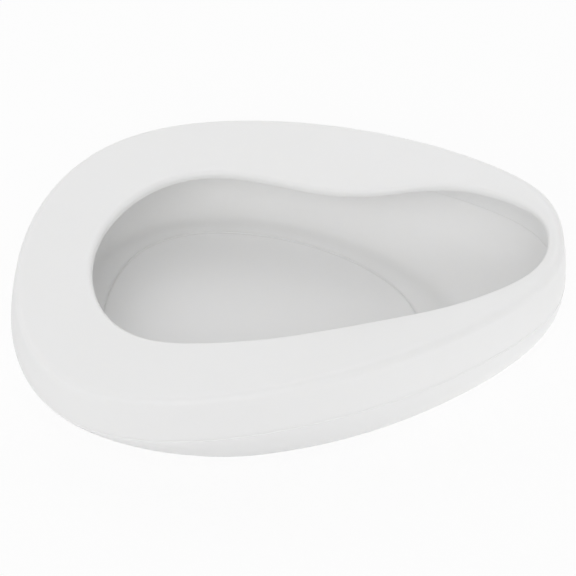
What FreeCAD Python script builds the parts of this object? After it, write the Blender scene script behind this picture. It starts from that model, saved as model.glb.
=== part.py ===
import FreeCAD, Part
import math
import os

# Adult bedpan, white moulded plastic, three pieces joined for life:
#   seat_shell  upper moulding: seat shelf, rolled lip, skirt, inner tongue
#   bowl_shell  lower moulding: bowl wall, flat floor, foot skirt
#   weld_bead   fusion bead that fills the V groove round the outside joint
#
# Millimetres.  X runs along the length: -X is the wide low end, +X the narrow
# tall end (the tip).  Y is across, Z is up, Z = 0 is the ground under the foot.
# Every outline is mirror symmetric about the XZ plane.
#
# A "ring" is a list of points, one per station round the pan.  Station angles
# start at the wide end.  Faces are built in bands between rings.

Vector = FreeCAD.Vector
UP = Vector(0, 0, 1)

# ---- overall --------------------------------------------------------------
HALF_LENGTH = 181.24           # half of the overall length, at the joint line
WALL = 2.6                     # moulded wall thickness of both shells
STATIONS = 48                  # points in every ring
PATCHES = 8                    # faces round the pan in every band

# Polynomials in x / HALF_LENGTH, constant term first
SEAT_HEIGHT = (87.56, 18.66, -3.14, 0.13)
JOINT_DEPTH = (31.88, 1.10, -4.36)    # joint line below the seat height
# Lip height above the seat height: cosine harmonics of the station angle
LIP_HARMONICS = (-5.26, -0.94, 3.70, -1.23, -2.13, 0.12, 1.21)

# ---- seat -----------------------------------------------------------------
RIM_RADIUS = 5.52              # outer top edge
RIM_RADIUS_TIP = 4.2           # the same at the tip, where it tightens
RIM_DRAFT = 3.22               # how far the skirt leans in over its height
RIM_LEAN = math.radians(12)    # lean of the skirt where the rim radius starts
LIP_RADIUS = 3.68              # roll of the lip round the opening
LIP_RADIUS_TIP = 3.3
TIP_RADIUS_POWER = 16          # how sharply the tip radii fade in
SEAT_CROWN = math.radians(3)   # extra slope at each edge that rounds the seat
LIP_DROP = 4.77                # depth of the turned down lip

# ---- joint ----------------------------------------------------------------
JOINT_LAP = 11.0               # height of the tongue inside the bowl
LAP_STEPS = 6                  # ring intervals down the tongue
TONGUE_DEPTH = 1.35            # depth of the mating face behind the outside
GROOVE_DEPTH = 0.6             # V groove at the joint line
GROOVE_HALF = 0.6              # half height of the V groove
BEAD_PROUD = 0.4               # how far the bead stands out of the skirt
BEAD_POLE_HEIGHT = 0.55        # its middle poles, as a share of GROOVE_HALF

# ---- bowl body ------------------------------------------------------------
# Each body section is one Bezier curve from the joint down to the foot.
# Polynomials in x / HALF_LENGTH again.
BODY_UPPER_DROP = (12.93, 2.56, -16.38)   # second pole below the first
BODY_UPPER_DROP_MIN = 4.6
BODY_UPPER_DROP_EASE = 2.76    # rounds the change to the minimum drop
BODY_LOWER_SHARE = (0.60, 0.49)    # third pole, from the last to the second
BODY_LOWER_RISE = 0.35         # part of that share which applies to height
BOWL_STEP = 0.2                # bowl wall stands this far inside the tongue
WALL_STEPS = 9                 # ring intervals up the inside wall
WALL_SHIFT_POWER = 4           # how late the wall bends over to the crease

# ---- floor ----------------------------------------------------------------
FLOOR_Z = 12.4                 # top of the flat floor
FLOOR_UNDER_Z = 9.8            # underside of the flat floor, inside the foot
LINE_HALF = 0.45               # half width of the fine groove in the floor
LINE_DEPTH = 0.5
CREASE_BLEND = 6.5             # the soft turn starts this far up the wall
CREASE_MARGIN = 0.7 * CREASE_BLEND    # and ends this far in on the floor
CREASE_PULL = 0.38             # its handle length, as a share of its chord
GATE_RADIUS = 4.5              # moulding gate dimple under the floor
GATE_DEPTH = 0.5
GATE_CLEARANCE = 1.0           # cutter length below the floor

# ---- foot: offsets and widths, with what is added at the ends -------------
FOOT_TOP_Z = 11.22             # top edge of the foot's side
FOOT_TOP_OFFSET = 2.58         # that edge outside the crease
FOOT_TOP_OFFSET_WIDE = 4.21
FOOT_EDGE_OFFSET = 1.88        # ground edge outside the foot line
FOOT_EDGE_OFFSET_WIDE = 9.0
FOOT_EDGE_OFFSET_TIP = 8.0
FOOT_EDGE_RADIUS = 1.4         # radius of the foot's bottom edge
FOOT_WIDTH = 4.0               # width of the foot skirt at the ground
FOOT_WIDTH_ENDS = 2.0
FOOT_ROOT = 4.6                # the same at its root under the floor
FOOT_ROOT_ENDS = 4.5
QUARTER_ARC = 0.5523           # Bezier handle of a quarter circle, radius 1


# ---- outlines -------------------------------------------------------------
def outline(half_length, centre_x, second, third, widths):
    """Plan outline as a function of angle, built from harmonics.

    second and third shift x by the higher cosine harmonics; widths are
    the sine harmonics of y.
    """
    def point(angle):
        x = (centre_x - half_length * math.cos(angle)
             + second * (math.cos(2 * angle) - 1) * 0.5
             + third * (math.cos(3 * angle) - math.cos(angle)) * 0.5)
        y = sum(width * math.sin((k + 1) * angle)
                for k, width in enumerate(widths))
        return Vector(x, y, 0)
    return point


FOOT_CENTRE_X = -16.11

# the pan at the joint line
pan_line = outline(HALF_LENGTH, 0.0, -30.73, 8.67,
                   (134.26, 30.14, 5.99, -0.22, 0.92, -0.56))
opening_line = outline(147.58, 20.29, -10.29, -4.77,
                       (80.83, 14.33, 11.74, 0.47, -0.94, -0.31, 0.61, -0.45))
# the fine groove in the floor
groove_line = outline(107.51, -16.42, 16.14, 4.74, (97.34, 4.85, -0.46))
# followed by the foot's ground edge
foot_line = outline(109.65, FOOT_CENTRE_X, 14.45, 5.03, (106.20, 5.64, 0.68))
# the turn between the floor and the wall
crease_line = outline(131.32, -16.28, -3.54, 3.56, (107.95, 12.90, -0.42))


def normal(line, angle):
    """Outward plan normal of an outline."""
    step = 1e-4
    along = line(angle + step) - line(angle - step)
    return Vector(-along.y, along.x, 0).normalize()


def wide_end(angle, power):
    """1 at the wide end, fading to 0 at the tip."""
    return ((1 + math.cos(angle)) / 2) ** power


def tip_end(angle, power):
    """1 at the tip, fading to 0 at the wide end."""
    return ((1 - math.cos(angle)) / 2) ** power


def both_ends(angle):
    return wide_end(angle, 6) + tip_end(angle, 4)


def polynomial(coefficients, x):
    share = x / HALF_LENGTH
    return sum(c * share ** k for k, c in enumerate(coefficients))


def seat_height(x):
    return polynomial(SEAT_HEIGHT, x)


def joint_height(x):
    return seat_height(x) - polynomial(JOINT_DEPTH, x)


def lip_height(angle):
    return seat_height(opening_line(angle).x) + sum(
        height * math.cos(k * angle) for k, height in enumerate(LIP_HARMONICS))


def foot_top_offset(angle):
    return FOOT_TOP_OFFSET + FOOT_TOP_OFFSET_WIDE * wide_end(angle, 4)


def foot_edge_offset(angle):
    return (FOOT_EDGE_OFFSET + FOOT_EDGE_OFFSET_WIDE * wide_end(angle, 6)
            + FOOT_EDGE_OFFSET_TIP * tip_end(angle, 4))


# ---- rings ----------------------------------------------------------------
ANGLES = [2.0 * math.pi * i / STATIONS for i in range(STATIONS)]
PAN_NORMALS = [normal(pan_line, angle) for angle in ANGLES]
OPENING_NORMALS = [normal(opening_line, angle) for angle in ANGLES]
JOINT_HEIGHTS = [joint_height(pan_line(angle).x) for angle in ANGLES]


def at_z(point, z):
    return Vector(point.x, point.y, z)


def per_station(value):
    return value if isinstance(value, list) else [value] * STATIONS


def offset_ring(line, offset, height):
    """Ring outside an outline; offset and height are numbers or lists."""
    return [at_z(line(angle) + normal(line, angle) * out, z)
            for angle, out, z in zip(ANGLES, per_station(offset),
                                     per_station(height))]


def joint_ring(depth, rise):
    """Ring at a depth behind the pan outline, at a height above the joint."""
    return offset_ring(pan_line, -depth, [z + rise for z in JOINT_HEIGHTS])


# ---- the body curve below the joint line ----------------------------------
def body_poles(angle):
    edge = pan_line(angle)
    drop = polynomial(BODY_UPPER_DROP, edge.x) - BODY_UPPER_DROP_MIN
    drop = BODY_UPPER_DROP_MIN + 0.5 * (drop + math.hypot(drop, BODY_UPPER_DROP_EASE))
    share = polynomial(BODY_LOWER_SHARE, edge.x)
    top = at_z(edge, joint_height(edge.x) - GROOVE_HALF)
    upper = top - UP * drop
    crease_normal = normal(crease_line, angle)
    bottom = at_z(crease_line(angle) + crease_normal * foot_top_offset(angle),
                  FOOT_TOP_Z)
    reach = (upper - bottom) * share
    lower = bottom + Vector(reach.x, reach.y, reach.z * BODY_LOWER_RISE)
    return top, upper, lower, bottom


def body_point(angle, w, depth=0.0):
    """Point at curve parameter w, at a depth behind the body's outside."""
    def on_surface(at_angle):
        top, upper, lower, bottom = body_poles(at_angle)
        return (top * (1 - w) ** 3 + upper * (3 * w * (1 - w) ** 2)
                + lower * (3 * w * w * (1 - w)) + bottom * w ** 3)

    if depth == 0.0:
        return on_surface(angle)
    step = 1e-4
    around = on_surface(angle + step) - on_surface(angle - step)
    top, upper, lower, bottom = body_poles(angle)
    down = ((upper - top) * (1 - w) ** 2
            + (lower - upper) * (2 * w * (1 - w))
            + (bottom - lower) * w ** 2)
    inward = around.cross(down).normalize()
    outward = normal(pan_line, angle)
    if inward.x * outward.x + inward.y * outward.y > 0:
        inward = inward * -1.0
    return on_surface(angle) + inward * depth


def lap_end(angle):
    """Body curve parameter where the tongue ends, by bisection."""
    target = body_point(angle, 0.0).z - JOINT_LAP
    low, high = 0.0, 1.0
    for _ in range(50):
        middle = 0.5 * (low + high)
        if body_point(angle, middle).z > target:
            low = middle
        else:
            high = middle
    return 0.5 * (low + high)


LAP_ENDS = [lap_end(angle) for angle in ANGLES]


def lap_rings(depth):
    """Rings down the lap, at a depth behind the body's outside."""
    return [[body_point(angle, end * step / LAP_STEPS, depth)
             for angle, end in zip(ANGLES, LAP_ENDS)]
            for step in range(LAP_STEPS + 1)]


# ---- faces from rings -----------------------------------------------------
SPANS = STATIONS // PATCHES
U_KNOTS = [float(k) for k in range(SPANS + 1)]
U_MULTS = [4] + [1] * (SPANS - 1) + [4]

# Periodic cubic spline poles are the points filtered with this kernel, the
# exact inverse of the spline's (1, 4, 1) / 6 weights.
DECAY = math.sqrt(3) - 2
KERNEL = [math.sqrt(3) * (DECAY ** k + DECAY ** (STATIONS - k))
          / (1 - DECAY ** STATIONS) for k in range(STATIONS)]


def patch_poles(ring):
    """Clamped spline poles of a ring, one list per patch."""
    poles = [sum((ring[i - k] * KERNEL[k] for k in range(STATIONS)), Vector())
             for i in range(STATIONS)]
    patches = []
    for start in range(0, STATIONS, SPANS):
        end = start + SPANS
        after = end % STATIONS
        patches.append(
            [ring[start], (poles[start] * 2.0 + poles[start + 1]) * (1.0 / 3.0)]
            + poles[start + 1:end]
            + [(poles[after] * 2.0 + poles[end - 1]) * (1.0 / 3.0), ring[after]])
    return patches


def surface(rows, v_mults, v_knots, degree):
    """Band of faces from rows of pole rings, all the way round the pan."""
    faces = []
    for patch_rows in zip(*[patch_poles(row) for row in rows]):
        grid = [list(column) for column in zip(*patch_rows)]
        patch = Part.BSplineSurface()
        patch.buildFromPolesMultsKnots(grid, U_MULTS, v_mults, U_KNOTS, v_knots,
                                       False, False, 3, degree)
        faces.append(patch.toShape())
    return faces


def ruled(first, second):
    return surface([first, second], [2, 2], [0.0, 1.0], 1)


def bezier_band(*rows):
    return surface(rows, [4, 4], [0.0, 1.0], 3)


def through(rings):
    """Band through a stack of rings: one cubic curve per station."""
    params = [float(k) / (len(rings) - 1) for k in range(len(rings))]
    curves = []
    for points in zip(*rings):
        curve = Part.BSplineCurve()
        curve.interpolate(Points=list(points), Parameters=params)
        curves.append(curve)
    first = curves[0]
    middle = [[curve.getPole(j) for curve in curves]
              for j in range(2, first.NbPoles)]
    return surface([rings[0]] + middle + [rings[-1]],
                   first.getMultiplicities(), first.getKnots(), first.Degree)


def flat_face(outer_ring, inner_ring=None):
    """Flat face inside a ring, with an optional hole."""
    wires = []
    for ring in (outer_ring, inner_ring):
        if ring is None:
            continue
        edges = []
        for poles in patch_poles(ring):
            curve = Part.BSplineCurve()
            curve.buildFromPolesMultsKnots(poles, U_MULTS, U_KNOTS, False, 3)
            edges.append(curve.toShape())
        wires.append(Part.Wire(edges))
    if len(wires) == 1:
        return [Part.Face(wires[0])]
    return Part.makeFace(wires, "Part::FaceMakerBullseye").Faces


def arc_rows(centres, sideways, radii, starts, ends):
    """Four pole rings of an arc: angle 0 is sideways, 90 degrees is up."""
    rows = ([], [], [], [])
    for centre, side, radius, start, end in zip(centres, sideways, radii,
                                                starts, ends):
        pull = 4.0 / 3.0 * math.tan((end - start) / 4.0) * radius
        first, last = [centre + side * (radius * math.cos(a))
                       + UP * (radius * math.sin(a)) for a in (start, end)]
        first_dir, last_dir = [UP * math.cos(a) - side * math.sin(a)
                               for a in (start, end)]
        poles = (first, first + first_dir * pull, last - last_dir * pull, last)
        for row, pole in zip(rows, poles):
            row.append(pole)
    return rows


def solid(bands):
    """Sew bands of faces into one solid."""
    shell = Part.makeShell([face for band in bands for face in band])
    shell.sewShape()
    # sewing may wrap the shell in a compound
    result = Part.Solid(shell.Shells[0])
    if result.Volume < 0:
        result.reverse()
    # repairs sewn edges that fall outside tolerance
    if not result.isValid():
        result.fix(1e-5, 1e-5, 1e-4)
    return result


# ---- joint rings shared by the mating pieces ------------------------------
groove_top = joint_ring(0.0, GROOVE_HALF)
groove_low = joint_ring(0.0, -GROOVE_HALF)
groove_root = joint_ring(GROOVE_DEPTH, 0.0)
land_inner = joint_ring(TONGUE_DEPTH, 0.0)
mating = [land_inner] + lap_rings(TONGUE_DEPTH)


# ---- seat_shell -----------------------------------------------------------
def seat_profile():
    """Return a function giving the seat's pole rows at a depth."""
    tips = [tip_end(angle, TIP_RADIUS_POWER) for angle in ANGLES]
    rim_radii = [RIM_RADIUS + (RIM_RADIUS_TIP - RIM_RADIUS) * tip for tip in tips]
    lip_radii = [LIP_RADIUS + (LIP_RADIUS_TIP - LIP_RADIUS) * tip for tip in tips]
    rim_centres = offset_ring(
        pan_line, [-(radius + RIM_DRAFT) for radius in rim_radii],
        [seat_height(pan_line(angle).x) - radius
         for angle, radius in zip(ANGLES, rim_radii)])
    lip_centres = offset_ring(
        opening_line, lip_radii,
        [lip_height(angle) - radius for angle, radius in zip(ANGLES, lip_radii)])
    outer_slopes, inner_slopes = [], []
    for i, tip in enumerate(tips):
        # common tangent of the rim round and the lip round
        gap = rim_centres[i] - lip_centres[i]
        tilt = (math.atan2(gap.z, math.hypot(gap.x, gap.y))
                + math.asin((rim_radii[i] - lip_radii[i]) / gap.Length))
        crown = SEAT_CROWN * (1.0 - tip)
        outer_slopes.append(tilt - crown)
        inner_slopes.append(tilt + crown)

    def skin(inset):
        rim = arc_rows(rim_centres, PAN_NORMALS, [r - inset for r in rim_radii],
                       per_station(RIM_LEAN),
                       [math.pi / 2 + slope for slope in outer_slopes])
        lip = arc_rows(lip_centres, [n * -1.0 for n in OPENING_NORMALS],
                       [r - inset for r in lip_radii],
                       [math.pi / 2 - slope for slope in inner_slopes],
                       per_station(0.0))
        rim_end, lip_start = rim[3], lip[0]
        near_rim, near_lip = [], []
        for i in range(STATIONS):
            third = (lip_start[i] - rim_end[i]).Length / 3.0
            outer, inner = outer_slopes[i], inner_slopes[i]
            near_rim.append(rim_end[i] - PAN_NORMALS[i] * (third * math.cos(outer))
                            - UP * (third * math.sin(outer)))
            near_lip.append(lip_start[i] + OPENING_NORMALS[i] * (third * math.cos(inner))
                            + UP * (third * math.sin(inner)))
        return rim, (rim_end, near_rim, near_lip, lip_start), lip

    return skin


def skirt_rows(bottom, rim_start):
    """Skirt that rises upright and leans in to meet the rim round."""
    near_bottom, near_rim = [], []
    for low, high, outward in zip(bottom, rim_start, PAN_NORMALS):
        third = (high - low).Length / 3.0
        lean = UP * math.cos(RIM_LEAN) - outward * math.sin(RIM_LEAN)
        near_bottom.append(low + UP * third)
        near_rim.append(high - lean * third)
    return bottom, near_bottom, near_rim, rim_start


def make_seat_shell():
    skin = seat_profile()
    rim_out, shelf_out, lip_out = skin(0.0)
    rim_in, shelf_in, lip_in = skin(WALL)
    tongue_inner = lap_rings(WALL)

    # half round lower end of the lip
    end_heights = [lip_height(angle) - LIP_DROP for angle in ANGLES]
    face_end = offset_ring(opening_line, 0.0, end_heights)
    back_end = offset_ring(opening_line, WALL, end_heights)
    centres = offset_ring(opening_line, WALL / 2, end_heights)
    front_arc, back_arc = [
        arc_rows(centres, [n * -1.0 for n in OPENING_NORMALS],
                 per_station(WALL / 2), per_station(start),
                 per_station(start - math.pi / 2))
        for start in (0.0, -math.pi / 2)]

    return solid([
        bezier_band(*skirt_rows(groove_top, rim_out[0])),
        bezier_band(*rim_out),
        bezier_band(*shelf_out),
        bezier_band(*lip_out),
        ruled(lip_out[3], face_end),
        surface([face_end, *front_arc[1:], *back_arc[1:3], back_end],
                [4, 3, 4], [0.0, 0.5, 1.0], 3),
        ruled(back_end, lip_in[3]),
        bezier_band(*lip_in),
        bezier_band(*shelf_in),
        bezier_band(*rim_in),
        bezier_band(*skirt_rows(tongue_inner[0], rim_in[0])),
        through(tongue_inner),
        ruled(tongue_inner[-1], mating[-1]),
        through(mating),
        ruled(land_inner, groove_root),
        ruled(groove_root, groove_top),
    ])


# ---- bowl_shell -----------------------------------------------------------
def foot_ring(offset, z):
    """Ring outside the foot's ground edge; offset is a number or a list."""
    return offset_ring(foot_line,
                       [foot_edge_offset(angle) + out
                        for angle, out in zip(ANGLES, per_station(offset))], z)


def inside_wall():
    """Rings down the inside wall, and pole rings of the turn to the floor."""
    depth = WALL + BOWL_STEP
    creases = offset_ring(crease_line, 0.0, FLOOR_Z)
    margin = offset_ring(crease_line, -CREASE_MARGIN, FLOOR_Z)
    wall = [[] for _ in range(WALL_STEPS + 1)]
    near_floor, near_wall = [], []
    for angle, lap, corner, floor_end in zip(ANGLES, LAP_ENDS, creases, margin):
        # shift that carries the wall's lower end onto the crease
        shift = corner - body_point(angle, 1.0, depth)

        def inside(share):
            point = body_point(angle, lap + (1.0 - lap) * share, depth)
            return point + shift * share ** WALL_SHIFT_POWER

        chord = (corner - inside(0.0)).Length
        last = 1.0 - CREASE_BLEND / chord      # the turn starts here
        for k, ring in enumerate(wall):
            ring.append(inside(last * k / WALL_STEPS))
        wall_end = wall[-1][-1]
        down = (inside(last + 0.004) - inside(last - 0.004)).normalize()
        reach = (wall_end - floor_end).Length * CREASE_PULL
        near_floor.append(floor_end + normal(crease_line, angle) * reach)
        near_wall.append(wall_end + down * reach)
    return wall, (margin, near_floor, near_wall, wall[-1])


def make_bowl_shell():
    body = [list(row) for row in zip(*[body_poles(angle) for angle in ANGLES])]

    # foot: sloping side, rounded bottom edge, flat contact ring, inner side
    radius = FOOT_EDGE_RADIUS
    edge_arc = (foot_ring(0.0, radius),
                foot_ring(0.0, radius * (1 - QUARTER_ARC)),
                foot_ring(-radius * QUARTER_ARC, 0.0),
                foot_ring(-radius, 0.0))
    contact_in = foot_ring([-(FOOT_WIDTH + FOOT_WIDTH_ENDS * both_ends(angle))
                            for angle in ANGLES], 0.0)
    panel_under = offset_ring(
        crease_line,
        [foot_top_offset(angle) - (FOOT_ROOT + FOOT_ROOT_ENDS * both_ends(angle))
         for angle in ANGLES], FLOOR_UNDER_Z)

    # inside: floor, fine groove, flat margin, soft turn, wall up to the tongue
    panel_top = offset_ring(groove_line, -LINE_HALF, FLOOR_Z)
    line_root = offset_ring(groove_line, 0.0, FLOOR_Z - LINE_DEPTH)
    margin_in = offset_ring(groove_line, LINE_HALF, FLOOR_Z)
    wall, turn = inside_wall()

    bowl = solid([
        bezier_band(*body),
        ruled(body[3], edge_arc[0]),
        bezier_band(*edge_arc),
        flat_face(edge_arc[3], contact_in),
        ruled(contact_in, panel_under),
        flat_face(panel_under),
        flat_face(panel_top),
        ruled(panel_top, line_root),
        ruled(line_root, margin_in),
        flat_face(turn[0], margin_in),
        bezier_band(*turn),
        through(wall),
        ruled(wall[0], mating[-1]),
        through(mating),
        ruled(land_inner, groove_root),
        ruled(groove_root, groove_low),
    ])
    gate = Part.makeCylinder(
        GATE_RADIUS, GATE_DEPTH + GATE_CLEARANCE,
        Vector(FOOT_CENTRE_X, 0, FLOOR_UNDER_Z - GATE_CLEARANCE))
    return bowl.cut(gate).Solids[0]


# ---- weld_bead ------------------------------------------------------------
def make_weld_bead():
    bulge = BEAD_PROUD * 4.0 / 3.0     # pole distance that gives BEAD_PROUD
    pole_rise = GROOVE_HALF * BEAD_POLE_HEIGHT
    return solid([
        ruled(groove_top, groove_root),
        ruled(groove_root, groove_low),
        bezier_band(groove_low, joint_ring(-bulge, -pole_rise),
                    joint_ring(-bulge, pole_rise), groove_top),
    ])


os.makedirs("parts", exist_ok=True)
for name, make in (("seat_shell", make_seat_shell),
                   ("bowl_shell", make_bowl_shell),
                   ("weld_bead", make_weld_bead)):
    make().exportStep("parts/%s.step" % name)
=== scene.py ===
"""White moulded plastic pan: a seat shell with an opening, welded to a bowl shell.

The pan lies lengthwise along X, its wide end at -X and its tip at +X, and stands on
its foot at z = 0. Shapes are worked out in millimetres and built in metres.
"""
import bpy
import math
from collections import namedtuple
import numpy as np
from mathutils import Matrix, Vector


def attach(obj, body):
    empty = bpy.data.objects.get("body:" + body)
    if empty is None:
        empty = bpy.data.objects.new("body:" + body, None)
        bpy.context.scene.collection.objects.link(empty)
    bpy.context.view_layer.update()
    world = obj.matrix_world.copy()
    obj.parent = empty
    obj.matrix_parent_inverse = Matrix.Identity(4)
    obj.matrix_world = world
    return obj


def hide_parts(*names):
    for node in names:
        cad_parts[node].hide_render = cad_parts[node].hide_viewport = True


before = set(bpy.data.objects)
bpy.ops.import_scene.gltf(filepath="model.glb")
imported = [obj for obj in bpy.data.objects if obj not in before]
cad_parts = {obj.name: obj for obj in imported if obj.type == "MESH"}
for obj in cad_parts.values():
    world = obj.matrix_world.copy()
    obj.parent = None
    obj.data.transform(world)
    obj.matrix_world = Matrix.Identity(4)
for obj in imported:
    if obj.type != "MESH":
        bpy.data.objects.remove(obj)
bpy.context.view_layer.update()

# ---------------------------------------------------------------------------
# Dimensions, in millimetres
# ---------------------------------------------------------------------------
MM = 0.001
STATIONS = 480                # points round the pan
HALF_LENGTH = 181.24
WALL = 2.6

# Plan outlines: half length, centre x, cos 2t and cos 3t terms of x,
# (sin t, sin 2t, ... terms of y)
EDGE_SHAPE = (HALF_LENGTH, 0.0, -30.73, 8.67,
              (134.26, 30.14, 5.99, -0.22, 0.92, -0.56))
OPENING_SHAPE = (147.58, 20.29, -10.29, -4.77,
                 (80.83, 14.33, 11.74, 0.47, -0.94, -0.31, 0.61, -0.45))
FOOT_SHAPE = (109.65, -16.11, 14.45, 5.03,
              (106.2, 5.64, 0.68))
FLOOR_LINE_SHAPE = (107.51, -16.42, 16.14, 4.74,
                    (97.34, 4.85, -0.46))
CREASE_SHAPE = (131.32, -16.28, -3.54, 3.56,
                (107.95, 12.9, -0.42))

# Polynomials in x / HALF_LENGTH, lowest power first
SEAT_HEIGHT = (87.56, 18.66, -3.14, 0.13)
JOINT_DROP = (31.88, 1.1, -4.36)       # joint below the seat height
BODY_UPPER = (12.93, 2.56, -16.38)     # length of the body curve's upper handle
BODY_LOWER = (0.6, 0.49)               # share of the way for its lower handle
BODY_UPPER_MIN, BODY_UPPER_EASE = 4.6, 2.76
BODY_LOWER_FLATTEN = 0.35              # z share of the lower handle

# Seat: rim on the outside, lip round the opening
RIM_RADIUS, RIM_RADIUS_TIP, RIM_DRAFT = 5.52, 4.2, 3.22
RIM_LEAN = math.radians(12)
LIP_RADIUS, LIP_RADIUS_TIP, LIP_DROP = 3.68, 3.3, 4.77
LIP_RISE = (-5.26, -0.94, 3.7, -1.23, -2.13, 0.12, 1.21)   # cos kt terms, k = 0, 1, ...
SEAT_CROWN = math.radians(3)

# Lapped joint, with an outside groove for the weld bead
JOINT_LAP, TONGUE_DEPTH = 11.0, 1.35
GROOVE_DEPTH, GROOVE_HALF = 0.6, 0.6
BEAD_PROUD = 0.4
BEAD_PEAK = -0.62             # crest of the bead, as a share of the groove's half height
BEAD_WANDER = 0.16            # largest share by which the bead sinks
JOINT_GAP = 0.02              # keeps the hidden mating faces apart

# Bowl floor, and the line cut round it
FLOOR_Z = 12.4
FLOOR_UNDER_Z = FLOOR_Z - WALL
LINE_HALF, LINE_DEPTH, LINE_SIDE = 0.45, 0.5, 2.8
FLOOR_HUB = 3.0               # smallest ring of the floor
CREASE_BLEND, CREASE_BLEND_FLOOR = 6.5, 0.7   # length up the wall, its share on the floor
BLEND_HANDLE = 0.38
BOWL_STEP = 0.2               # how far the wall steps in below the lap

# Foot; tuples are a base value and what the ends of the pan add
FOOT_TOP_Z, FOOT_TOP_OUT = 11.22, (2.58, 4.21)   # adds at the wide end
FOOT_EDGE_OUT = (1.88, 9.0, 8.0)                 # adds at the wide end, at the tip
FOOT_EDGE_RADIUS = 1.4
FOOT_WIDTH, FOOT_ROOT = (4.0, 2.0), (4.6, 4.5)   # adds at either end
QUARTER_ARC = 0.5523          # Bezier handle of a quarter circle of radius 1

# Round dimple under the floor, with the stub of the gate in it
GATE_RADIUS, GATE_DEPTH = 4.5, 0.5
STUB_RADIUS, STUB_PROUD, STUB_HUB = 1.4, 0.28, 1.2

# ---------------------------------------------------------------------------
# Outlines and the body curve
# ---------------------------------------------------------------------------
Line = namedtuple("Line", "points out")       # points round the pan, outward normals
ANGLES = np.arange(STATIONS) * (2.0 * math.pi / STATIONS)   # from the wide end by +Y
NUDGE = 1e-4                                  # angle step for derivatives
UP = np.array((0.0, 0.0, 1.0))


def unit(v):
    return v / np.linalg.norm(v, axis=-1, keepdims=True)


def at_z(points, z):
    moved = np.array(points, float)
    moved[..., 2] = z
    return moved


def outline(t, shape):
    half, centre_x, second, third, sines = shape
    x = (centre_x - half * np.cos(t) + second * (np.cos(2 * t) - 1) * 0.5
         + third * (np.cos(3 * t) - np.cos(t)) * 0.5)
    y = sum(size * np.sin((k + 1) * t) for k, size in enumerate(sines))
    return np.stack([x, y, np.zeros_like(x)], -1)


def make_line(shape, t=ANGLES):
    along = outline(t + NUDGE, shape) - outline(t - NUDGE, shape)
    out = np.stack([-along[..., 1], along[..., 0], np.zeros_like(t)], -1)
    return Line(outline(t, shape), unit(out))


def beside(line, distance, z):
    """The line moved outward in plan by a distance, at height z."""
    distance = np.broadcast_to(distance, (STATIONS,))[:, None]
    return at_z(line.points + line.out * distance, z)


def lengthwise(x, terms):
    s = x / HALF_LENGTH
    value = 0.0
    for term in reversed(terms):
        value = value * s + term
    return value


def joint_height(x):
    return lengthwise(x, SEAT_HEIGHT) - lengthwise(x, JOINT_DROP)


def wide_end(t, power):
    """1 at the wide end, fading to 0 at the tip."""
    return ((1 + np.cos(t)) / 2) ** power


def tip_end(t, power):
    """1 at the tip, fading to 0 at the wide end."""
    return ((1 - np.cos(t)) / 2) ** power


def foot_top_offset(t):
    return FOOT_TOP_OUT[0] + FOOT_TOP_OUT[1] * wide_end(t, 4)


def body_poles(t):
    """Bezier poles of the outside of the bowl, from the joint down to the foot."""
    edge = outline(t, EDGE_SHAPE)
    x = edge[..., 0]
    upper = lengthwise(x, BODY_UPPER) - BODY_UPPER_MIN
    # a smooth maximum holds the handle above its least length
    upper = BODY_UPPER_MIN + 0.5 * (upper + np.sqrt(upper * upper + BODY_UPPER_EASE ** 2))
    lower = lengthwise(x, BODY_LOWER)[..., None]
    p0 = at_z(edge, joint_height(x) - GROOVE_HALF)
    p1 = p0 - UP * upper[..., None]
    p3 = beside(make_line(CREASE_SHAPE, t), foot_top_offset(t), FOOT_TOP_Z)
    p2 = p3 + (p1 - p3) * lower * np.array((1.0, 1.0, BODY_LOWER_FLATTEN))
    return p0, p1, p2, p3


def bezier(poles, w):
    w = np.asarray(w, float)[..., None]
    p0, p1, p2, p3 = poles
    return ((1 - w) ** 3 * p0 + 3 * w * (1 - w) ** 2 * p1
            + 3 * w * w * (1 - w) * p2 + w ** 3 * p3)


def bezier_direction(poles, w):
    w = np.asarray(w, float)[..., None]
    p0, p1, p2, p3 = poles
    return ((1 - w) ** 2 * (p1 - p0) + 2 * w * (1 - w) * (p2 - p1)
            + w * w * (p3 - p2))


EDGE = make_line(EDGE_SHAPE)
OPENING = make_line(OPENING_SHAPE)
CREASE = make_line(CREASE_SHAPE)
FOOT = make_line(FOOT_SHAPE)
FLOOR_LINE = make_line(FLOOR_LINE_SHAPE)
JOINT_Z = joint_height(EDGE.points[:, 0])
POLES = body_poles(ANGLES)
POLES_BEFORE, POLES_AFTER = body_poles(ANGLES - NUDGE), body_poles(ANGLES + NUDGE)


def body_point(w, depth):
    """Ring on the body at curve parameter w, at a depth inside it."""
    around = bezier(POLES_AFTER, w) - bezier(POLES_BEFORE, w)
    out = unit(np.cross(around, bezier_direction(POLES, w)))
    flip = np.sign((out * EDGE.out).sum(-1, keepdims=True))
    return bezier(POLES, w) - out * flip * depth


def find_lap_end():
    """Curve parameter at which the body is JOINT_LAP below its top, by bisection."""
    low, high = np.zeros(STATIONS), np.ones(STATIONS)
    for _ in range(50):
        middle = 0.5 * (low + high)
        above = bezier(POLES, middle)[:, 2] > POLES[0][:, 2] - JOINT_LAP
        low, high = np.where(above, middle, low), np.where(above, high, middle)
    return 0.5 * (low + high)


LAP_END = find_lap_end()


# ---------------------------------------------------------------------------
# Bands: arrays of rings (rows, STATIONS, 3); a section is a chain of bands
# ---------------------------------------------------------------------------
def ruled(start, end, rows=12):
    f = np.linspace(0, 1, rows)[:, None, None]
    return start[None] * (1 - f) + end[None] * f


def curved(p0, p1, p2, p3, rows):
    return bezier((p0, p1, p2, p3), np.linspace(0, 1, rows)[:, None])


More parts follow.
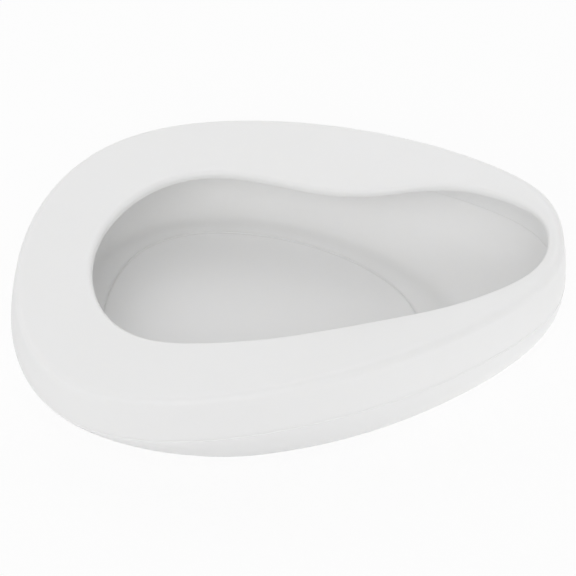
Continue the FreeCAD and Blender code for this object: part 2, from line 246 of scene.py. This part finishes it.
def arc(centre, side, radius, start, end, rows):
    """Upright arc; angles run from the side direction toward up."""
    f = np.linspace(0, 1, rows)[:, None]
    angle = start * (1 - f) + end * f
    radius = np.broadcast_to(radius, (STATIONS,))
    return (centre[None] + side[None] * (radius * np.cos(angle))[..., None]
            + UP * (radius * np.sin(angle))[..., None])


def disc(ring, z, rows, hub_radius):
    """Rings from a small circle out to the ring, all at one height."""
    angle = np.unwrap(np.arctan2(ring[:, 1] - FOOT_CENTRE[1], ring[:, 0] - FOOT_CENTRE[0]))
    circle = [np.cos(angle), np.sin(angle), np.zeros(STATIONS)]
    hub = FOOT_CENTRE + np.stack(circle, -1) * hub_radius
    return ruled(at_z(hub, z), at_z(ring, z), rows)


def lap(depth, rows=24):
    return np.stack([body_point(LAP_END * k / (rows - 1), depth) for k in range(rows)])


def at_joint(depth, rise):
    return beside(EDGE, -depth, JOINT_Z + rise)


def resample(band, head, tail, rows):
    """The band again with evenly spaced rows, less an arc length at each end."""
    steps = np.linalg.norm(np.diff(band, axis=0), axis=-1)
    travel = np.vstack([np.zeros(STATIONS), np.cumsum(steps, 0)])
    total = travel[-1]
    start = np.minimum(head, total * 0.45)
    end = total - np.minimum(tail, total * 0.45)
    columns = np.arange(STATIONS)
    out = np.empty((rows, STATIONS, 3))
    for k in range(rows):
        want = start + (end - start) * k / (rows - 1)
        j = np.clip((travel[:-1] <= want).sum(0) - 1, 0, len(steps) - 1)
        f = (want - travel[j, columns]) / np.maximum(steps[j, columns], 1e-12)
        out[k] = band[j, columns] + (band[j + 1, columns] - band[j, columns]) * f[:, None]
    return out


def chain(sections, closed, corner_rows):
    """One stack of rings from bands that meet, each corner eased.

    A section is (band, rows, radius of the corner where the band starts).
    """
    pieces = []
    for i, (band, rows, radius) in enumerate(sections):
        first, last = i == 0, i == len(sections) - 1
        next_band, _, next_radius = sections[(i + 1) % len(sections)]
        head = radius if closed or not first else 0.0
        tail = next_radius if closed or not last else 0.0
        piece = resample(band, head, tail, rows)
        if pieces and np.abs(pieces[-1][-1] - piece[0]).max() < 1e-6:
            piece = piece[1:]
        pieces.append(piece)
        if tail > 0:
            after = resample(next_band, tail, 0.0, 2)[0]
            f = np.linspace(0, 1, corner_rows + 2)[1:-1][:, None, None]
            pieces.append((1 - f) ** 2 * piece[-1] + 2 * f * (1 - f) * band[-1]
                          + f * f * after)
    out = np.concatenate(pieces)
    if closed and np.abs(out[0] - out[-1]).max() < 1e-6:
        out = out[:-1]
    return out


FOOT_CENTRE = np.array((FOOT_SHAPE[1], 0.0, 0.0))
GROOVE_TOP = at_joint(0.0, GROOVE_HALF)
GROOVE_LOW = at_joint(0.0, -GROOVE_HALF)
GROOVE_ROOT = at_joint(GROOVE_DEPTH, 0.0)


# ---------------------------------------------------------------------------
# Seat shell
# ---------------------------------------------------------------------------
def seat_section():
    tip = tip_end(ANGLES, 16)
    rim_radius = RIM_RADIUS + (RIM_RADIUS_TIP - RIM_RADIUS) * tip
    lip_radius = LIP_RADIUS + (LIP_RADIUS_TIP - LIP_RADIUS) * tip
    top_z = lengthwise(EDGE.points[:, 0], SEAT_HEIGHT)
    lip_z = lengthwise(OPENING.points[:, 0], SEAT_HEIGHT) + sum(
        rise * np.cos(k * ANGLES) for k, rise in enumerate(LIP_RISE))
    rim_centre = beside(EDGE, -(rim_radius + RIM_DRAFT), top_z - rim_radius)
    lip_centre = beside(OPENING, lip_radius, lip_z - lip_radius)

    # slope of the line that touches rim and lip, crowned between them
    span = rim_centre - lip_centre
    tilt = (np.arctan2(span[:, 2], np.hypot(span[:, 0], span[:, 1]))
            + np.arcsin((rim_radius - lip_radius) / np.linalg.norm(span, axis=1)))
    crown = SEAT_CROWN * (1.0 - tip)
    rim_slope, lip_slope = tilt - crown, tilt + crown

    def skin(inset):
        """Rim, shelf and lip, at a depth inside the seat's surface."""
        rim = arc(rim_centre, EDGE.out, rim_radius - inset, RIM_LEAN,
                  math.pi / 2 + rim_slope, 40)
        lip = arc(lip_centre, -OPENING.out, lip_radius - inset,
                  math.pi / 2 - lip_slope, 0.0, 40)
        start, end = rim[-1], lip[0]
        third = (np.linalg.norm(end - start, axis=1) / 3.0)[:, None]
        a, b = rim_slope[:, None], lip_slope[:, None]
        shelf = curved(start,
                       start - EDGE.out * third * np.cos(a) - UP * third * np.sin(a),
                       end + OPENING.out * third * np.cos(b) + UP * third * np.sin(b),
                       end, 60)
        return rim, shelf, lip

    def skirt(bottom, top):
        third = (np.linalg.norm(top - bottom, axis=1) / 3.0)[:, None]
        lean = -EDGE.out * math.sin(RIM_LEAN) + UP * math.cos(RIM_LEAN)
        return curved(bottom, bottom + UP * third, top - lean * third, top, 50)

    land = at_joint(TONGUE_DEPTH, 0.0)
    mate = np.concatenate([land[None], lap(TONGUE_DEPTH)])
    inner = lap(WALL)
    rim, shelf, lip = skin(0.0)
    rim_back, shelf_back, lip_back = skin(WALL)
    end_z = lip_z - LIP_DROP
    face_end = beside(OPENING, 0.0, end_z)
    back_end = beside(OPENING, WALL, end_z)
    lip_end = arc(beside(OPENING, WALL * 0.5, end_z), -OPENING.out, WALL * 0.5,
                  0.0, -math.pi, 30)
    return chain([
        # outer face, up from the groove and over to the opening
        (skirt(GROOVE_TOP, rim[0]), 22, 0.04),
        (rim, 14, 0),
        (shelf, 36, 0),
        (lip, 14, 0),
        (ruled(lip[-1], face_end), 4, 0),
        (lip_end, 12, 0),
        # hidden face, back to the bottom of the lap
        (ruled(back_end, lip_back[-1]), 4, 0),
        (lip_back[::-1], 9, 0),
        (shelf_back[::-1], 24, 0),
        (rim_back[::-1], 10, 0),
        (skirt(inner[0], rim_back[0])[::-1], 20, 0),
        (inner, 14, 0),
        # mating face, and out along the groove
        (ruled(inner[-1], mate[-1]), 4, 0.08),
        (mate[::-1], 12, 0),
        (ruled(land, GROOVE_ROOT), 3, 0),
        (ruled(GROOVE_ROOT, GROOVE_TOP), 4, 0),
    ], closed=True, corner_rows=3)


# ---------------------------------------------------------------------------
# Bowl shell
# ---------------------------------------------------------------------------
def bowl_wall():
    """Inside of the bowl: the blend up from the floor, and the wall from the lap down."""
    depth = WALL + BOWL_STEP
    crease = at_z(CREASE.points, FLOOR_Z)
    shift = crease - body_point(np.ones(STATIONS), depth)
    drop = np.linalg.norm(crease - body_point(LAP_END, depth), axis=1)
    last = 1.0 - CREASE_BLEND / drop

    def inside(f):
        w = LAP_END + (1.0 - LAP_END) * f
        return body_point(w, depth) + shift * (f ** 4)[:, None]

    wall = np.stack([inside(last * k / 79.0) for k in range(80)])
    down = unit(inside(last + 0.004) - inside(last - 0.004))
    inward = -CREASE.out
    floor_end = crease + inward * CREASE_BLEND * CREASE_BLEND_FLOOR
    handle = (np.linalg.norm(wall[-1] - floor_end, axis=1) * BLEND_HANDLE)[:, None]
    blend = curved(floor_end, floor_end - inward * handle,
                   wall[-1] + down * handle, wall[-1], 30)
    return blend, wall


def bowl_section():
    blend, wall = bowl_wall()

    panel_edge = beside(FLOOR_LINE, -LINE_HALF, FLOOR_Z)
    line_root = beside(FLOOR_LINE, 0.0, FLOOR_Z - LINE_DEPTH)
    ledge_edge = beside(FLOOR_LINE, LINE_HALF, FLOOR_Z)
    line_near = beside(FLOOR_LINE, -LINE_SIDE, FLOOR_Z)
    line_far = beside(FLOOR_LINE, LINE_SIDE, FLOOR_Z)

    tongue_depth = TONGUE_DEPTH + JOINT_GAP
    tongue_top = at_joint(tongue_depth, -JOINT_GAP)
    groove_back = at_joint(GROOVE_DEPTH, -JOINT_GAP)
    tongue = np.concatenate([lap(tongue_depth)[::-1], tongue_top[None]])
    body = np.stack([bezier(POLES, np.full(STATIONS, k / 89)) for k in range(90)])

    ends = wide_end(ANGLES, 6) + tip_end(ANGLES, 4)
    foot_edge = (FOOT_EDGE_OUT[0] + FOOT_EDGE_OUT[1] * wide_end(ANGLES, 6)
                 + FOOT_EDGE_OUT[2] * tip_end(ANGLES, 4))
    foot_width = FOOT_WIDTH[0] + FOOT_WIDTH[1] * ends
    foot_root = FOOT_ROOT[0] + FOOT_ROOT[1] * ends

    def at_foot(offset, z):
        return beside(FOOT, foot_edge + offset, z)

    foot_low = at_foot(0.0, FOOT_EDGE_RADIUS)
    foot_turn = curved(foot_low, at_foot(0.0, FOOT_EDGE_RADIUS * (1 - QUARTER_ARC)),
                       at_foot(-FOOT_EDGE_RADIUS * QUARTER_ARC, 0.0),
                       at_foot(-FOOT_EDGE_RADIUS, 0.0), 12)
    foot_back = at_foot(-foot_width, 0.0)
    panel_under = beside(CREASE, foot_top_offset(ANGLES) - foot_root, FLOOR_UNDER_Z)

    under_disc = disc(panel_under, FLOOR_UNDER_Z, 30, GATE_RADIUS)
    gate_roof = disc(under_disc[0], FLOOR_UNDER_Z + GATE_DEPTH, 8, STUB_HUB)
    gate_edge = gate_roof[-1].copy()
    # the sheared gate stub stands a little out of the dimple's roof
    reach = np.hypot(gate_roof[..., 0] - FOOT_CENTRE[0], gate_roof[..., 1])
    gate_roof[..., 2] -= STUB_PROUD * np.exp(-(reach / STUB_RADIUS) ** 4)

    return chain([
        # floor from its middle outward, across the line cut round it
        (disc(line_near, FLOOR_Z, 30, FLOOR_HUB), 16, 0),
        (ruled(line_near, panel_edge), 9, 0),
        (ruled(panel_edge, line_root, 4), 4, 0.16),
        (ruled(line_root, ledge_edge, 4), 4, 0.1),
        (ruled(ledge_edge, line_far), 9, 0.16),
        (ruled(line_far, blend[0], 30), 18, 0),
        # up the inside, over the tongue and out to the groove
        (blend, 14, 0),
        (wall[::-1], 44, 0),
        (ruled(wall[0], body_point(LAP_END, tongue_depth)), 3, 0.05),
        (tongue, 10, 0),
        (ruled(tongue_top, groove_back), 3, 0),
        (ruled(groove_back, GROOVE_LOW - UP * JOINT_GAP), 3, 0),
        # down the outside and round the foot
        (body, 50, 0.04),
        (ruled(body[-1], foot_low, 20), 14, 1.2),
        (foot_turn, 8, 0),
        (ruled(foot_turn[-1], foot_back), 4, 0),
        (ruled(foot_back, panel_under), 5, 0.4),
        # underside, in to the gate dimple
        (under_disc[::-1], 16, 0.4),
        (ruled(under_disc[0], gate_edge), 3, 0.12),
        (gate_roof[::-1], 8, 0.12),
    ], closed=False, corner_rows=4)


# ---------------------------------------------------------------------------
# Weld bead: hand-fed fusion bead, so its height wanders a little
# ---------------------------------------------------------------------------
def bead_section():
    rng = np.random.default_rng(7)
    wander = np.zeros(STATIONS)
    for k in range(3, 60):
        wander += (np.cos(k * ANGLES + rng.uniform(0, 2 * math.pi))
                   * rng.normal() / (1.0 + k * 0.12))
    wander = 1.0 - BEAD_WANDER * (wander - wander.min()) / (wander.max() - wander.min())

    def bulge_ring(s):
        """s from -1 at the lower groove edge to 1 at the upper one."""
        below = s < BEAD_PEAK
        away = (s - BEAD_PEAK) / (1.0 + BEAD_PEAK if below else 1.0 - BEAD_PEAK)
        proud = BEAD_PROUD * (1.0 - abs(away) ** (3.0 if below else 1.5))
        return at_joint(-max(proud, 0.0) * wander, GROOVE_HALF * s)

    bulge = np.stack([bulge_ring(s) for s in np.linspace(-1, 1, 25)])
    return chain([
        (bulge, 13, 0),
        (ruled(GROOVE_TOP, GROOVE_ROOT), 4, 0),
        (ruled(GROOVE_ROOT, GROOVE_LOW), 4, 0),
    ], closed=True, corner_rows=5)


# ---------------------------------------------------------------------------
# Objects
# ---------------------------------------------------------------------------
def link_object(name, data):
    ob = bpy.data.objects.new(name, data)
    bpy.context.scene.collection.objects.link(ob)
    return ob


def make_piece(node, rings, caps=None):
    """All-quad ring mesh; a closed section has no caps, an open one two cap centres."""
    count = len(rings)
    verts = rings.reshape(-1, 3) * MM
    i = np.arange(STATIONS)
    j = (i + 1) % STATIONS
    faces = []
    for k in range(count if caps is None else count - 1):
        a, b = k * STATIONS, ((k + 1) % count) * STATIONS
        faces.append(np.stack([a + i, a + j, b + j, b + i], -1))
    if caps is not None:
        even = i[::2]
        for cap, row in zip(caps, (0, count - 1)):
            hub = np.full(len(even), len(verts))
            verts = np.vstack([verts, cap * MM])
            p, q, r = (row * STATIONS + (even + k) % STATIONS for k in range(3))
            faces.append(np.stack([hub, r, q, p] if row == 0 else [hub, p, q, r], -1))
    faces = np.concatenate(faces)
    mesh = bpy.data.meshes.new(f"{node}_visual")
    mesh.from_pydata(verts.tolist(), [], faces.tolist())
    mesh.update()
    # a negative volume means that the faces look inward
    a, b, c, d = (verts[faces[:, k]] for k in range(4))
    if (a * (np.cross(b, c) + np.cross(c, d))).sum() < 0:
        mesh.flip_normals()
    for polygon in mesh.polygons:
        polygon.use_smooth = True
    ob = link_object(f"{node}_visual", mesh)
    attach(ob, "root")
    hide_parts(node)
    return ob


def plan_distance(points, mask, line):
    """Distance in plan from the masked points to the line; far for the others."""
    distance = np.full(len(points), 99.0)
    chosen = np.nonzero(mask)[0]
    for k in range(0, len(chosen), 400):      # in parts, to save memory
        part = chosen[k:k + 400]
        gap = points[part, None, :2] - line.points[None, :, :2]
        distance[part] = np.sqrt((gap ** 2).sum(-1)).min(1)
    return distance


def paint_bowl_shade(bowl, rings):
    """Paint shade into the colour along the line round the floor, and more faintly at the
    turn into the wall.
    """
    points = rings.reshape(-1, 3)
    z = points[:, 2]
    to_line = plan_distance(points, np.abs(z - FLOOR_Z) < LINE_DEPTH + 0.01, FLOOR_LINE)
    to_crease = plan_distance(points, (z > FLOOR_Z - 0.6) & (z < FLOOR_Z + 9.0), CREASE)
    # painted shade: strongest in the cut line round the floor, fainter across the turn into
    # the wall
    painted_shade = np.zeros(len(bowl.data.vertices))
    painted_shade[:len(points)] = (np.exp(-(to_line / 1.25) ** 2) * 0.6
                          + np.exp(-(to_crease / 7.0) ** 2) * 0.3)
    layer = bowl.data.attributes.new("painted_shade", "FLOAT", "POINT")
    layer.data.foreach_set("value", painted_shade)


# ---------------------------------------------------------------------------
# Node helpers
# ---------------------------------------------------------------------------
def clear_tree(owner):
    owner.use_nodes = True
    owner.node_tree.nodes.clear()
    return owner.node_tree


def add_node(tree, kind, inputs=None, **settings):
    """New shader node; an input is a value, a socket, or a node for its first output."""
    node = tree.nodes.new("ShaderNode" + kind)
    for key, value in settings.items():
        setattr(node, key, value)
    for key, value in (inputs or {}).items():
        if isinstance(value, bpy.types.Node):
            value = value.outputs[0]
        if isinstance(value, bpy.types.NodeSocket):
            tree.links.new(value, node.inputs[key])
        else:
            node.inputs[key].default_value = value
    return node


def add_math(tree, operation, *values):
    return add_node(tree, "Math", dict(enumerate(values)), operation=operation)


# ---------------------------------------------------------------------------
# Plastic
# ---------------------------------------------------------------------------
def moulded_plastic(name, rough, seed, base=(0.93, 0.93, 0.93), warm=(0.925, 0.925, 0.92),
                    bump=1.0, coat=0.0, subsurface=0.3):
    """White satin-gloss moulded polypropylene, procedural."""
    material = bpy.data.materials.new(name)
    tree = clear_tree(material)
    place = add_node(tree, "TexCoord").outputs["Object"]

    def noise(scale, detail, location, roughness=0.5, **mapping):
        moved = add_node(tree, "Mapping", {"Vector": place, "Location": location, **mapping})
        return add_node(tree, "TexNoise", {
            "Vector": moved, "Scale": scale, "Detail": detail, "Roughness": roughness})

    # colour: slow drift of the white through the wall, darkened by painted shade in the
    # bowl's cut line and crease
    drift = noise(scale=9.0, detail=3.0, location=(seed, 0, 0))
    white = add_node(tree, "ValToRGB", {0: drift})
    for stop, position, colour in zip(white.color_ramp.elements, (0.3, 0.7), (base, warm)):
        stop.position = position
        stop.color = (*colour, 1)
    painted_shade = add_node(tree, "Attribute", attribute_name="painted_shade")
    # painted shade: multiplies the white toward grey at the bowl's floor line and its turn
    # into the wall
    colour = add_node(tree, "Mix", {
        "Factor": painted_shade.outputs["Fac"], "A": white, "B": (0.84, 0.84, 0.835, 1),
    }, data_type="RGBA", blend_type="MULTIPLY")

    # roughness: satin, with polished and handled patches and hairlines
    patch = noise(scale=22.0, detail=4.0, location=(0, seed, 0), roughness=0.6)
    fine = noise(scale=420.0, detail=2.0, location=(0, 0, seed))
    hair = noise(scale=60.0, detail=6.0, location=(seed, seed, 0), roughness=0.75,
                 Scale=(0.35, 5.5, 2.0), Rotation=(0.2, 0.1, 0.55))
    hairline = add_math(tree, "GREATER_THAN", hair, 0.63)
    # each layer: source, gain
    satin = rough - 0.05
    for source, gain in ((patch, 0.10), (fine, 0.05), (hairline, 0.025)):
        satin = add_math(tree, "MULTIPLY_ADD", source, gain, satin)

    # bump: flow waviness, a fine eggshell grain and faint hairlines
    wavy = noise(scale=36.0, detail=2.0, location=(seed, 0, seed))
    grain = noise(scale=900.0, detail=3.0, location=(0, seed, seed))
    height = add_math(tree, "MULTIPLY", wavy, 1.0)
    for source, gain in ((grain, 0.05), (hair, -0.02)):
        height = add_math(tree, "MULTIPLY_ADD", source, gain, height)
    relief = add_node(tree, "Bump", {
        "Strength": 0.25 * bump, "Distance": 0.0006, "Height": height})

    surface = add_node(tree, "BsdfPrincipled", {
        "Base Color": colour.outputs["Result"],
        "Roughness": satin,
        "Normal": relief,
        "IOR": 1.49,
        "Specular IOR Level": 0.5,
        "Subsurface Weight": subsurface,
        "Subsurface Radius": (1.0, 0.98, 0.94),
        "Subsurface Scale": 0.0015,
        "Coat Weight": coat,
        "Coat Roughness": 0.18,
    })
    add_node(tree, "OutputMaterial", {"Surface": surface})
    return material


# ---------------------------------------------------------------------------
# Stage: plain pale floor, soft studio light from broad lobes round the pan
# ---------------------------------------------------------------------------
FLOOR_HALF, FLOOR_DROP = 6.0, 0.0002      # metres
FLOOR_GLOW = 0.192                        # light given off all over
# more glow: axis, where it starts, where it is full (metres), strength
GLOW_FADES = (("X", 0.0, 0.2, 0.191), ("Y", -0.05, -0.2, 0.000))

# soft boxes: elevation, azimuth (degrees, from -Y toward +X), tightness, level
LIGHTS = (
    (62, 180, 8, 1.316), (62, 240, 8, 0.587), (36, 0, 10, 2.829),
    (36, 90, 10, 0.645), (36, 135, 10, 0.198), (36, 225, 10, 0.476),
    (36, 315, 10, 1.179), (10, 90, 12, 1.897), (10, 135, 12, 1.039),
    (10, 180, 12, 1.486), (10, 225, 12, 0.830), (10, 270, 12, 1.080),
    (10, 315, 12, 0.435),
)


def floor_paper():
    """Paper that lights the pan one way and looks evenly pale to the camera."""
    material = bpy.data.materials.new("floor_paper")
    tree = clear_tree(material)
    paper = add_node(tree, "BsdfDiffuse", {"Color": (0.70, 0.70, 0.70, 1)})
    seen = add_node(tree, "BsdfDiffuse", {"Color": (0.14, 0.14, 0.14, 1)})
    seen_glow = add_node(tree, "Emission", {"Strength": 0.86})
    to_camera = add_node(tree, "AddShader", {0: seen, 1: seen_glow})

    where = add_node(tree, "NewGeometry").outputs["Position"]
    axes = add_node(tree, "SeparateXYZ", {0: where})
    level = FLOOR_GLOW
    for axis, start, full, gain in GLOW_FADES:
        fade = add_node(tree, "MapRange", {
            "From Min": start, "From Max": full, "Value": axes.outputs[axis],
        }, interpolation_type="SMOOTHSTEP")
        level = add_math(tree, "MULTIPLY_ADD", fade, gain, level)
    glow = add_node(tree, "Emission", {"Strength": level})
    to_pan = add_node(tree, "AddShader", {0: paper, 1: glow})

    camera_ray = add_node(tree, "LightPath").outputs["Is Camera Ray"]
    above = add_node(tree, "MixShader", {0: camera_ray, 1: to_pan, 2: to_camera})
    # open from below, so the underside of the pan can be looked at
    backfacing = add_node(tree, "NewGeometry").outputs["Backfacing"]
    clear = add_node(tree, "BsdfTransparent")
    sided = add_node(tree, "MixShader", {0: backfacing, 1: above, 2: clear})
    add_node(tree, "OutputMaterial", {"Surface": sided})
    return material


def make_floor():
    mesh = bpy.data.meshes.new("floor")
    corners = ((-1, -1), (1, -1), (1, 1), (-1, 1))
    mesh.from_pydata([(x * FLOOR_HALF, y * FLOOR_HALF, 0) for x, y in corners],
                     [], [(0, 1, 2, 3)])
    floor = link_object("floor", mesh)
    floor.location.z = -FLOOR_DROP
    mesh.materials.append(floor_paper())


def make_world():
    world = bpy.data.worlds.new("studio")
    bpy.context.scene.world = world
    tree = clear_tree(world)
    toward = add_node(tree, "TexCoord").outputs["Generated"]
    total = 0.0
    for elevation, azimuth, tightness, level in LIGHTS:
        e, a = math.radians(elevation), math.radians(azimuth)
        aim = (math.sin(a) * math.cos(e), -math.cos(a) * math.cos(e), math.sin(e))
        dot = add_node(tree, "VectorMath", {0: toward, 1: aim}, operation="DOT_PRODUCT")
        facing = add_math(tree, "MAXIMUM", dot.outputs["Value"], 0.0)
        lobe = add_math(tree, "POWER", facing, float(tightness))
        total = add_math(tree, "ADD", add_math(tree, "MULTIPLY", lobe, level), total)
    background = add_node(tree, "Background", {"Strength": total})
    add_node(tree, "OutputWorld", {"Surface": background})


# ---------------------------------------------------------------------------
# Camera: looks down on the pan from -Y; distances in metres, lens in mm
# ---------------------------------------------------------------------------
CAMERA_AZIMUTH, CAMERA_ELEVATION = math.radians(-0.589), math.radians(42.088)
CAMERA_ROLL = math.radians(1.52)
CAMERA_DISTANCE = 1.35421
CAMERA_AIM = Vector((0.00097, 0.0, 0.04905))
SENSOR_WIDTH, LENS = 36.0, 127.951875


def make_camera():
    az, el, roll = CAMERA_AZIMUTH, CAMERA_ELEVATION, CAMERA_ROLL
    back = Vector((math.sin(az) * math.cos(el), -math.cos(az) * math.cos(el),
                   math.sin(el)))
    right = (-back).cross(Vector((0, 0, 1))).normalized()
    up = right.cross(-back)
    rolled_right = right * math.cos(roll) + up * math.sin(roll)
    rolled_up = -right * math.sin(roll) + up * math.cos(roll)
    data = bpy.data.cameras.new("camera")
    data.sensor_width = SENSOR_WIDTH
    data.lens = LENS
    data.clip_end = 50.0
    camera = link_object("camera", data)
    pose = Matrix((rolled_right, rolled_up, back)).transposed().to_4x4()
    pose.translation = CAMERA_AIM + back * CAMERA_DISTANCE
    camera.matrix_world = pose
    bpy.context.scene.camera = camera


# ---------------------------------------------------------------------------
# Build
# ---------------------------------------------------------------------------
materials = (
    moulded_plastic("plastic_seat", rough=0.34, seed=1.3),
    moulded_plastic("plastic_bowl", rough=0.30, seed=4.7),
    # the bead's lighter white base is a painted highlight along the bead; its coat and low
    # roughness are real gloss
    moulded_plastic("plastic_bead", rough=0.22, seed=8.1, base=(0.97, 0.97, 0.97),
                    warm=(0.965, 0.965, 0.96), bump=0.8, coat=0.8, subsurface=0.0),
)
bowl_rings = bowl_section()
seat = make_piece("seat_shell", seat_section())
bowl = make_piece("bowl_shell", bowl_rings,
                  caps=(at_z(FOOT_CENTRE, FLOOR_Z),
                        at_z(FOOT_CENTRE, FLOOR_UNDER_Z + GATE_DEPTH - STUB_PROUD)))
bead = make_piece("weld_bead", bead_section())
paint_bowl_shade(bowl, bowl_rings)
for piece, material in zip((seat, bowl, bead), materials):
    piece.data.materials.append(material)

make_floor()
make_world()
make_camera()
bpy.context.scene.view_settings.view_transform = "Standard"
# white walls pass light on many times inside the bowl
bpy.context.scene.cycles.diffuse_bounces = 8
